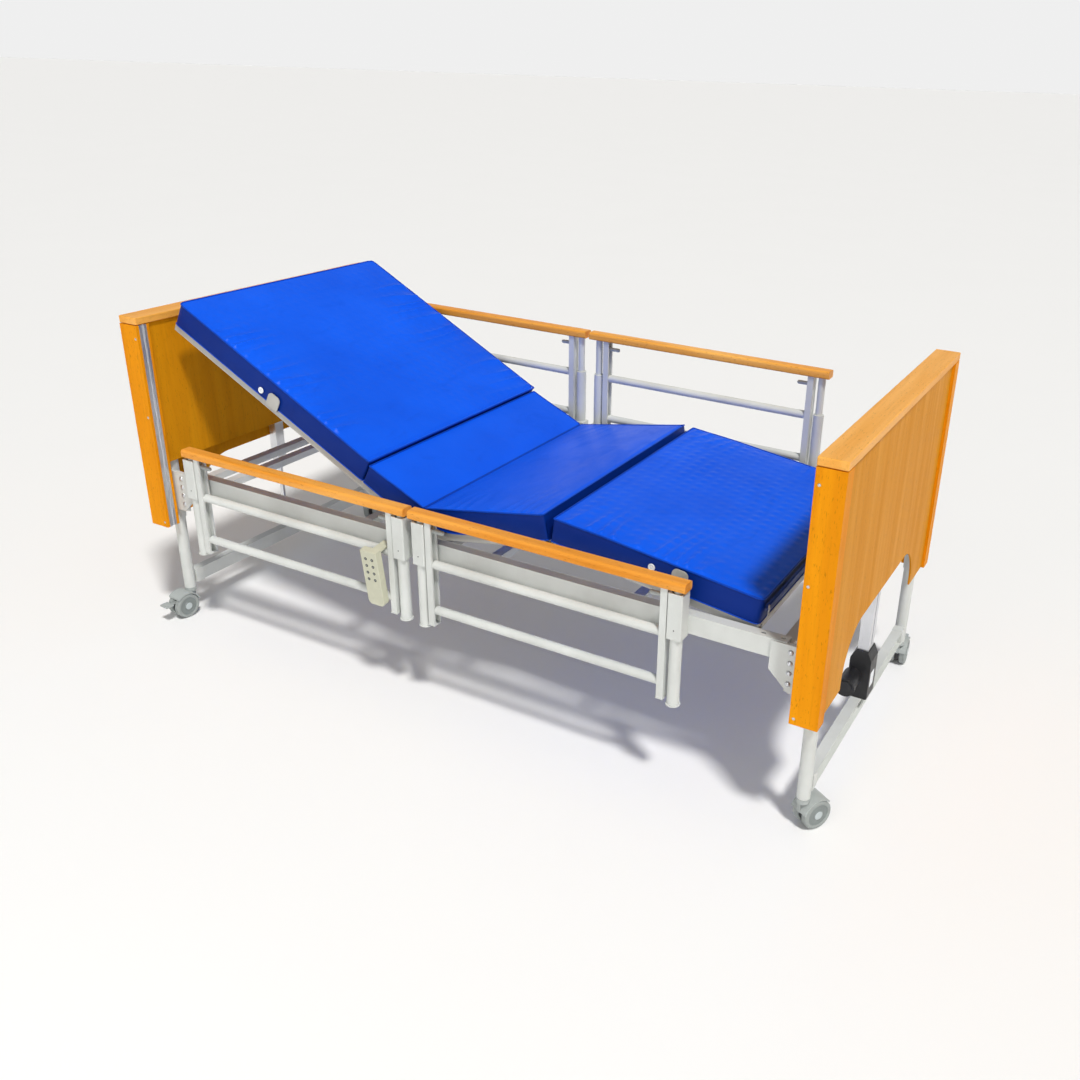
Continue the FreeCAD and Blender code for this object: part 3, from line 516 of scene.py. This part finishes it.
def pad_blank(name, low, high, leans, corner):
    """A closed block whose ends at low x and high x lean by those tangents over its height.

    It is smaller than the box from low to high, which leaves room to swell. Its corners seen from
    above are rounded by corner. Returns the piece, its limits and the points on its seams."""
    x0, y0, z0 = low + np.array((END_INSET, SEAM_INSET, END_INSET))
    x1, y1, z1 = high - np.array((END_INSET, SEAM_INSET, SEAM_INSET))
    lines = [grid_line(a, b) for a, b in ((x0, x1), (y0, y1), (z0, z1))]
    i, j, k = np.meshgrid(*(np.arange(len(line)) for line in lines), indexing="ij")
    ends = [(a == 0) | (a == len(line) - 1) for a, line in zip((i, j, k), lines)]
    shell = ends[0] | ends[1] | ends[2]
    index = np.full(shell.shape, -1)
    index[shell] = np.arange(shell.sum())
    x, y, z = lines[0][i[shell]], lines[1][j[shell]], lines[2][k[shell]]
    for x_end, radius in ((x0, corner[0]), (x1, corner[1])):
        for y_end in (y0, y1):
            u = radius - np.abs(x - x_end)
            v = radius - np.abs(y - y_end)
            reach = np.hypot(u, v)
            out = (u > 0) & (v > 0) & (reach > radius)
            scale = np.where(out, radius / np.maximum(reach, TINY), 1.0)
            x = np.where(out, x_end + np.sign(x1 + x0 - 2 * x_end) * (radius - u * scale), x)
            y = np.where(out, y_end - np.sign(y_end) * (radius - v * scale), y)
    share = (x - x0) / (x1 - x0)
    x = x + z * (leans[0] * (1 - share) + leans[1] * share)
    faces = []
    for side in (index[:, :, -1], index[:, :, 0].T, index[:, 0, :], index[:, -1, :].T,
                 index[0].T, index[-1]):
        faces.append(np.stack([side[:-1, :-1], side[1:, :-1], side[1:, 1:], side[:-1, 1:]],
                              -1).reshape(-1, 4))
    piece = new_mesh(name, np.stack([x, y, z], 1), np.concatenate(faces).tolist(), cover)
    # The sides take the darker blue: painted shade.
    piece.data.materials.append(gusset_painted_shade)
    sides = [len(f) for f in faces]
    kind = np.repeat([0, 0, 1, 1, 1, 1], sides)
    piece.data.polygons.foreach_set("material_index", kind.astype(np.int32))
    held = (ends[2] & (ends[0] | ends[1]))[shell]
    return piece, (x0, x1, y0, y1, z0, z1), np.where(held)[0]


def inflate(piece, held):
    """Cloth under pressure between held seams; no point moves further than SWELL."""
    start = read(piece)
    group = piece.vertex_groups.new(name="seams")
    group.add([int(i) for i in held], 1.0, "REPLACE")
    cloth = piece.modifiers.new("cloth", "CLOTH")
    cloth.settings.vertex_group_mass = "seams"
    cloth.settings.quality = 4
    cloth.settings.mass = 0.35
    cloth.settings.tension_stiffness = 22
    cloth.settings.compression_stiffness = 18
    cloth.settings.bending_stiffness = 0.6
    cloth.settings.use_pressure = True
    cloth.settings.uniform_pressure_force = 4
    cloth.settings.effector_weights.gravity = 0
    cloth.collision_settings.use_collision = False
    cloth.point_cache.frame_start = 1
    cloth.point_cache.frame_end = CLOTH_STEPS
    for step in range(1, CLOTH_STEPS + 1):
        SCENE.frame_set(step)
    apply_all(piece)
    SCENE.frame_set(1)
    piece.vertex_groups.clear()
    move = read(piece) - start
    length = np.linalg.norm(move, axis=1)
    kept = SWELL * np.tanh(length / SWELL)
    share = np.where(length > TINY, kept / np.maximum(length, TINY), 0)
    write(piece, start + move * share[:, None])


def subdivide(piece):
    """One round of smooth subdivision, so that the bumps and creases have points to move."""
    shape = piece.modifiers.new("finer", "SUBSURF")
    shape.levels = shape.render_levels = 1
    apply_all(piece)


def field(points, scale, seed):
    """Smooth noise from -1 to 1 at each (x, y) point."""
    return np.array([noise.noise(Vector((x * scale[0] + seed, y * scale[1] - seed, seed * 0.7)))
                     for x, y in points])


def surface_detail(piece, limits, leans, bumps, creases, dip):
    """Foam bumps under the cover, and the cover's creases running in from its side seams.

    Each field call gives a slow noise: how deep, how wide or how far the pattern wanders."""
    x0, x1, y0, y1, z0, z1 = limits
    points = read(piece)
    x, y, z = points.T
    top = smooth_step(z, z1 - 0.006, z1 - 0.001)
    side = np.minimum(y - y0, y1 - y)
    ends = np.minimum(x - (x0 + leans[0] * z), (x1 + leans[1] * z) - x)
    inside = smooth_step(np.minimum(side, ends), 0.001, 0.014)
    flat = np.stack([x, y], 1)
    wide = field(flat, (3.1, 2.3), 4.0)
    patch = field(flat, (5.0, 4.0), 11.0)
    warp = field(flat, (9.0, 3.5), 23.0)
    row = 0.5 + 0.5 * np.cos(2 * math.pi * x / EGG_STEP + 0.9 * wide)
    column = 0.5 + 0.5 * np.cos(2 * math.pi * y / EGG_STEP + 0.9 * patch)
    lift = EGG_HEIGHT * bumps * row * column * (0.35 + 0.65 * smooth_step(patch, -0.4, 0.5))
    lift += SAG_HEIGHT * wide
    phase = 2 * math.pi * (x + 0.05 * warp + 0.1 * np.sign(y) * side) / CREASE_STEP
    ridge = 1 - np.abs(np.sin(phase / 2)) ** 0.8
    reach = 0.07 + 0.09 * smooth_step(patch, -0.4, 0.6)
    strength = smooth_step(field(flat, (6.0, 1.0), 31.0), -0.45, 0.3)
    fade = np.exp(-(np.maximum(side, 0) / reach) ** 1.4)
    lift += CREASE_HEIGHT * creases * ridge * strength * fade
    points[:, 2] += top * inside * lift
    band = smooth_step(z, z0 + 0.008, z0 + 0.03) * smooth_step(-z, -z1 + 0.006, -z1 + 0.02)
    wave = field(np.stack([x, z], 1), (14.0, 22.0), 7.0)
    outward = np.where(y < 0, -1, 1) * smooth_step(-side, -0.012, -0.002)
    points[:, 1] += outward * band * SIDE_WAVE * wave * smooth_step(ends, 0.0, 0.03)
    dip(points, top)
    write(piece, points)


def edge_path(piece, corners, step=0.012, radius=0.007):
    """The closed line through corners, rounded there, laid onto the piece's surface."""
    tree = BVHTree.FromObject(piece, bpy.context.evaluated_depsgraph_get())
    line = []
    for i, corner in enumerate(corners):
        before, after = corners[i - 1], corners[(i + 1) % len(corners)]
        start = corner + (before - corner).normalized() * radius
        end = corner + (after - corner).normalized() * radius
        for k in range(5):
            t = k / 4
            line.append(start.lerp(corner, t).lerp(corner.lerp(end, t), t))
        stop = after + (corner - after).normalized() * radius
        count = max(2, int((stop - end).length / step))
        line.extend(end.lerp(stop, k / count) for k in range(1, count))
    laid = []
    for point in line:
        spot, normal, _, _ = tree.find_nearest(point)
        laid.append(spot + normal * 0.0003)
    return laid


def piping(name, limits, leans, piece, level, radius):
    """The cord sewn into the seam round the pad's top or bottom."""
    x0, x1, y0, y1, z0, z1 = limits
    z = z1 + 0.004 if level == "top" else z0 - 0.002
    head, foot = x0 + leans[0] * z - PIPING_OUT, x1 + leans[1] * z + PIPING_OUT
    near, far = y0 - PIPING_OUT, y1 + PIPING_OUT
    corners = [Vector((x, y, z)) for x, y in ((head, near), (foot, near), (foot, far), (head, far))]
    return sweep(name, edge_path(piece, corners), radius, seam)


def settle(piece, place, rule):
    """Puts a piece drawn in section axes into the row frame: a riding piece is tied to its body, any
    other has the place baked into its mesh.
    """
    piece.data.transform(place)
    piece.data.update()
    if rule[0] == "ride":
        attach(piece, rule[1])
    else:
        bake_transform(piece)


def make_pad(label, place, node, rule, bumps, creases, dip, leans=(0.0, 0.0), reach=(None, None),
             corner=(0.005, 0.005)):
    """One pad in its cover, drawn in section axes, in the place of the CAD pad called node."""
    low, high = local_box(place, node)
    if reach[0] is not None:
        low[0] = reach[0]
    if reach[1] is not None:
        high[0] = reach[1]
    piece, limits, held = pad_blank(f"mattress_{label}_pad", low, high, leans, corner)
    inflate(piece, held)
    subdivide(piece)
    surface_detail(piece, limits, leans, bumps, creases, dip)
    piece.data.shade_smooth()
    rings = [piping(f"mattress_{label}_piping_{level}", limits, leans, piece, level, radius)
             for level, radius in (("top", PIPING_TOP), ("bottom", PIPING_BOTTOM))]
    settle(piece, place, rule)
    for ring in rings:
        settle(ring, place, rule)
    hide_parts(node)
    return limits


def rolled_rim(end):
    """The cover rolls up along a pad's fold: a stitched groove runs beside the edge at x = end."""
    def dip(points, top):
        gap = end - points[:, 0]
        points[:, 2] -= 0.0034 * top * np.exp(-((gap - 0.011) / 0.0034) ** 2)
        points[:, 2] += 0.0016 * top * np.exp(-((gap - 0.004) / 0.004) ** 2)
    return dip


def fold_relief(sign):
    """Lifts a pad's underside beside the deck hinge, where the deck swings up into it."""
    def dip(points, top):
        x, z = sign * points[:, 0], points[:, 2]
        near = 1 - smooth_step(x, 0.02, 0.12)
        under = 1 - smooth_step(z, 0.014, 0.045)
        points[:, 2] += 0.02 * near * under
    return dip


def seat_dip(points, top):
    """The seat lies a little lower than the back where the cover folds between them."""
    fold_relief(-1)(points, top)
    x, z = points[:, 0], points[:, 2]
    ramp = 1 - smooth_step(x, -0.235, -0.03)
    points[:, 2] -= 0.010 * ramp * smooth_step(z, 0.03, 0.08)


def thigh_dip(points, top):
    """The thigh lifts clear of the deck hinge and has a rolled rim at the knee."""
    fold_relief(1)(points, top)
    rolled_rim(local_box(THIGH, "mattress_thigh")[1][0])(points, top)


def calf_dip(points, top):
    """The calf pad starts lower than the thigh's rim at the knee."""
    x, z = points[:, 0], points[:, 2]
    ramp = 1 - smooth_step(x, 0.0, 0.16)
    points[:, 2] -= 0.004 * ramp * smooth_step(z, 0.03, 0.08)


def make_mattress():
    """The four pads; returns the calf's limits."""
    lean = math.tan(HALF_FOLD)
    middle = 0.05
    back_to_carriage = ("blend", "back_section", "carriage", BACK @ Vector((-BLEND_FAR, 0, middle)),
                        BACK @ Vector((-BLEND_NEAR, 0, middle)))
    carriage_to_thigh = ("blend", "carriage", "thigh_section", THIGH @ Vector((BLEND_NEAR, 0, middle)),
                         THIGH @ Vector((BLEND_FAR, 0, middle)))
    make_pad("back", BACK, "mattress_back", ("ride", "back_section"), bumps=0.5, creases=1.0,
             dip=rolled_rim(local_box(BACK, "mattress_back")[1][0]), corner=(0.016, 0.005))
    make_pad("seat", BACK, "mattress_seat", back_to_carriage, bumps=0.12, creases=0.55, dip=seat_dip,
             leans=(0.0, -lean), reach=(None, -FOLD_GAP))
    make_pad("thigh", THIGH, "mattress_thigh", carriage_to_thigh, bumps=0.08, creases=0.25,
             dip=thigh_dip, leans=(lean, 0.0), reach=(FOLD_GAP, None))
    return make_pad("calf", CALF, "mattress_calf", ("ride", "calf_section"), bumps=1.1, creases=0.6,
                    dip=calf_dip, corner=(0.005, 0.016))


NEAR_FACE = -0.4238


def add_vent(name, place, x, z, body):
    """White breather vent with a raised ring on the near side of the cover."""
    profile = [(0.0, 0.0095), (0.0016, 0.0095), (0.0024, 0.0086), (0.0024, 0.0068), (0.0012, 0.006),
               (0.0012, 0.0036), (0.002, 0.003), (0.002, 0.0004)]
    vent = lathe(name, profile, (x, NEAR_FACE, z), (0, -1, 0), white)
    settle(vent, place, ("ride", body))


WEB_TOP, WEB_BOTTOM, WEB_BEND = 0.066, 0.016, 0.0155
WEB_DROP = 0.012
WEB_FROM_THIGH, WEB_FROM_CALF = 0.0012, 0.0014
WEB_WAVE = 0.0006
WEB_ROWS, WEB_STEPS = 60, 8


def knee_profile(turn):
    """Side view of the web: down the thigh pad, round through turn, and up the calf pad."""
    down, around, up = [], [], []
    for k in range(WEB_STEPS + 1):
        down.append((WEB_FROM_THIGH, WEB_TOP - (WEB_TOP - WEB_BOTTOM) * k / WEB_STEPS))
        z = WEB_BOTTOM + (WEB_TOP - WEB_DROP - WEB_BOTTOM) * k / WEB_STEPS
        up.append((z * math.sin(turn) - WEB_FROM_CALF * math.cos(turn), z * math.cos(turn)))
    for k in range(1, WEB_STEPS):
        angle = turn * k / WEB_STEPS
        around.append((WEB_FROM_THIGH + WEB_BEND * math.sin(angle), WEB_BEND * math.cos(angle)))
    return down + around + up


def knee_fold(width=0.418):
    """The cover's web at the knee: it drops between the two pads."""
    turn = THIGH_TURN + CALF_TURN
    profile = knee_profile(turn)
    rows = WEB_ROWS
    points, faces = [], []
    for i in range(rows + 1):
        y = -width + 2 * width * i / rows
        for x, z in profile:
            wave = WEB_WAVE * noise.noise(Vector((y * 30, z * 40, 3.0)))
            points.append((x + wave, y, z))
    count = len(profile)
    for i in range(rows):
        for k in range(count - 1):
            a = i * count + k
            faces.append((a, a + count, a + count + 1, a + 1))
    # Its near-black blue is painted shade in the fold.
    web = new_mesh("mattress_knee_web", points, faces, fold_blue_shaded)
    at_knee = Matrix.Translation(KNEE) @ Matrix.Rotation(-THIGH_TURN, 4, "Y")
    reach, middle = 0.016, 0.05
    start = at_knee @ Vector((-0.001, 0, middle))
    end = at_knee @ Vector((reach, 0, middle - reach * math.tan(turn / 2)))
    settle(web, at_knee, ("blend", "thigh_section", "calf_section", start, end))


ZIP_Z, ZIP_OUT, ZIP_END = 0.058, 0.004, 0.012
ZIP_STEPS, ZIP_BOW = 60, 0.0012
TAPE_SECTION = [(-0.011, 0.0), (-0.009, 0.0012), (-0.003, 0.0014), (-0.002, 0.003), (0.002, 0.003),
                (0.003, 0.0014), (0.009, 0.0012), (0.011, 0.0)]
TOOTH, TOOTH_STEP = Vector((0.0009, 0.0011, 0.0016)), 0.0034
TOOTH_OUT, TOOTH_APART, TOOTH_TAPER = 0.0036, 0.0011, 0.7
CUBE_FACES = ((0, 1, 3, 2), (4, 6, 7, 5), (0, 4, 5, 1), (2, 3, 7, 6), (0, 2, 6, 4), (1, 5, 7, 3))
SLIDER_IN = 0.026
PULLER_TURNS, PULLER_WIDE, PULLER_TALL = 24, 0.0042, 0.012
PULLER_OUT, PULLER_BELOW = 0.0066, 0.014


def zip_tape(face, y0, y1):
    """The tape's section drawn along the foot end, with a slight bow outward."""
    points, faces = [], []
    for i in range(ZIP_STEPS + 1):
        y = y0 + ZIP_END + (y1 - y0 - 2 * ZIP_END) * i / ZIP_STEPS
        bow = ZIP_BOW * math.sin(math.pi * i / ZIP_STEPS)
        points += [(face + bow + dx, y, ZIP_Z + dz) for dz, dx in TAPE_SECTION]
    count = len(TAPE_SECTION)
    for i in range(ZIP_STEPS):
        for k in range(count - 1):
            a = i * count + k
            faces.append((a, a + 1, a + count + 1, a + count))
    return new_mesh("mattress_zip_tape", points, faces, seam)


def zip_teeth(face, y0, y1):
    """Two rows of small tapered blocks that stand in each other's gaps."""
    points, faces = [], []
    y = y0 + 0.014
    row = 1
    while y < y1 - 0.014:
        centre = Vector((face + TOOTH_OUT, y, ZIP_Z + TOOTH_APART * row))
        base = len(points)
        for sx in (-1, 1):
            for sy in (-1, 1):
                for sz in (-1, 1):
                    taper = TOOTH_TAPER if sx > 0 else 1.0
                    points.append(centre + Vector((sx * TOOTH.x, sy * TOOTH.y * taper,
                                                   sz * TOOTH.z * taper)))
        faces += [tuple(base + i for i in corners) for corners in CUBE_FACES]
        y += TOOTH_STEP
        row = -row
    return new_mesh("mattress_zip_teeth", points, faces, gusset_painted_shade, smooth=False)


def zip_puller(face, y):
    """A small oval wire ring that hangs from the slider."""
    ring = []
    for k in range(PULLER_TURNS):
        turn = 2 * math.pi * k / PULLER_TURNS
        ring.append(Vector((face + PULLER_OUT, y + PULLER_WIDE * math.cos(turn),
                            ZIP_Z - PULLER_BELOW + PULLER_TALL * math.sin(turn))))
    return sweep("mattress_zip_puller", ring, 0.0011, zinc)


def zip_slider(face, y):
    profile = [(0, 0.0046), (0.0016, 0.005), (0.0034, 0.0044), (0.004, 0.0026)]
    return lathe("mattress_zip_slider", profile, (face + 0.0022, y, ZIP_Z), (1, 0, 0), zinc, 24)


def zip_fastener(limits):
    """Zip across the foot end: a tape, two rows of teeth, a puller and its slider."""
    x1, y0, y1 = limits[1:4]
    face = x1 + ZIP_OUT
    on_calf = ("ride", "calf_section")
    settle(zip_tape(face, y0, y1), CALF, on_calf)
    settle(zip_teeth(face, y0, y1), CALF, on_calf)
    settle(zip_puller(face, y0 + SLIDER_IN), CALF, on_calf)
    settle(zip_slider(face, y0 + SLIDER_IN), CALF, on_calf)


# ---- small parts that the CAD pieces carry ----

KEY_SPAN = 0.0125
HANDSET_X = -0.200
ARROW = ((-0.0022, -0.0012), (0.0022, -0.0012), (0.0, 0.0024))
ARROW_BACK, ARROW_FRONT = 0.00003, 0.00025
HOUSINGS = (-0.920, -0.121, -0.053, 0.717)
DIMPLE_FLOOR, DIMPLE_Z = 0.4966, 0.484
MOTOR_FACE, LABEL_WIDTH, LABEL_HEIGHT, LABEL_THICK = (1.0941, -0.004, 0.205), 0.034, 0.046, 0.0004


def plate_label(name, centre, right, upward, width, height, body, finish):
    """A thin blank plate with rounded corners, facing right x upward."""
    right, upward = Vector(right), Vector(upward)
    out = right.cross(upward)
    corner = min(width, height) * 0.16
    outline = []
    for cx, cy, first in ((1, 1, 0), (-1, 1, 90), (-1, -1, 180), (1, -1, 270)):
        for k in range(5):
            angle = math.radians(first + 22.5 * k)
            u = cx * (width / 2 - corner) + corner * math.cos(angle)
            v = cy * (height / 2 - corner) + corner * math.sin(angle)
            outline.append(Vector(centre) + right * u + upward * v)
    count = len(outline)
    points = outline + [p + out * LABEL_THICK for p in outline]
    faces = [tuple(reversed(range(count))), tuple(range(count, 2 * count))]
    faces += [(i, (i + 1) % count, count + (i + 1) % count, count + i) for i in range(count)]
    label = new_mesh(name, points, faces, finish, smooth=False)
    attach(label, body)


def key_marks():
    """A grey arrow on each handset key: up in one column and down in the other.

    The keys are one node, so each key is found as the points within KEY_SPAN of one of them."""
    keys = NODES["handset_keys"].data
    spots = np.array([v.co for v in keys.vertices])
    across = Vector((1, 0, 0))
    tilt = Vector(JOINTS["handset_lift_off"]["axis"]).normalized()
    out = across.cross(tilt)
    left = set(range(len(spots)))
    marks, faces = [], []
    while left:
        seed = spots[min(left)]
        near = [i for i in left if np.linalg.norm(spots[i] - seed) < KEY_SPAN]
        left -= set(near)
        group = spots[near]
        middle = Vector((group.min(0) + group.max(0)) / 2)
        front = max((Vector(p) - middle).dot(out) for p in group)
        way = 1 if middle.x < HANDSET_X else -1
        base = len(marks)
        for u, v in ARROW:
            for lift in (ARROW_BACK, ARROW_FRONT):
                marks.append(middle + across * u + tilt * (v * way) + out * (front + lift))
        a, b, c = base, base + 2, base + 4
        ring = (a, b, c) if way > 0 else (a, c, b)
        faces.append(tuple(i + 1 for i in ring))
        faces.append(tuple(reversed(ring)))
        for k in range(3):
            m = ring[(k + 1) % 3]
            faces.append((ring[k], m, m + 1, ring[k] + 1))
    marks_piece = new_mesh("handset_key_arrows", marks, faces, grey, smooth=False)
    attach(marks_piece, "handset")


def housing_screws():
    """A dark socket screw in the dimple of each rail housing."""
    profile = [(0.0, 0.0019), (0.0012, 0.0019), (0.0016, 0.0015), (0.0016, 0.0009), (0.0009, 0.0008),
               (0.0009, 0.0002)]
    for side, label in ((-1, "near"), (1, "far")):
        for k, x in enumerate(HOUSINGS):
            screw = lathe(f"housing_screw_{label}_{k}", profile, (x, side * DIMPLE_FLOOR, DIMPLE_Z),
                          (0, side, 0), black, 16)
            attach(screw, "bed_frame")


dress_cad()
dress_casters()
add_camera()
add_stage()
calf_limits = make_mattress()
knee_fold()
zip_fastener(calf_limits)
key_marks()
housing_screws()
plate_label("foot_motor_label", MOTOR_FACE, (0, 1, 0), (0, 0, 1), LABEL_WIDTH, LABEL_HEIGHT,
            "foot_legs", white)
add_vent("vent_back", BACK, -0.642, 0.034, "back_section")
add_vent("vent_calf", CALF, 0.294, 0.057, "calf_section")
